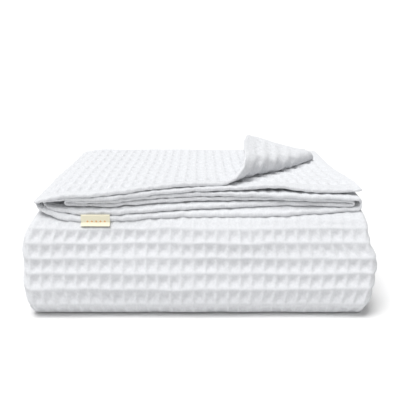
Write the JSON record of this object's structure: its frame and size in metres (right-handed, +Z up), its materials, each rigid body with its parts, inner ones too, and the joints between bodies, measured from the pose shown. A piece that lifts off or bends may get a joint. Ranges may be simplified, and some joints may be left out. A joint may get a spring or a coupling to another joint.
{
  "type": "folded waffle weave cotton blanket",
  "caption": "Thick cotton blanket in a deep waffle weave, folded into a low stack with a rounded front, hems to the front and one free corner peeled back.",
  "frame": {"origin": "middle of the overall box in X and Y, at the surface that the blanket rests on", "axes": "+X along the rounded front, from the folded side to the side with the free hems; +Y from the rounded front to the back; +Z up"},
  "size_m": [0.4264, 0.2532, 0.1764],
  "materials": {
    "blanket": "matt white cotton in a deep waffle weave",
    "label": "pale cream woven tape"
  },
  "bodies": {
    "root": {"blanket": "blanket", "label": "label"}
  },
  "joints": []
}
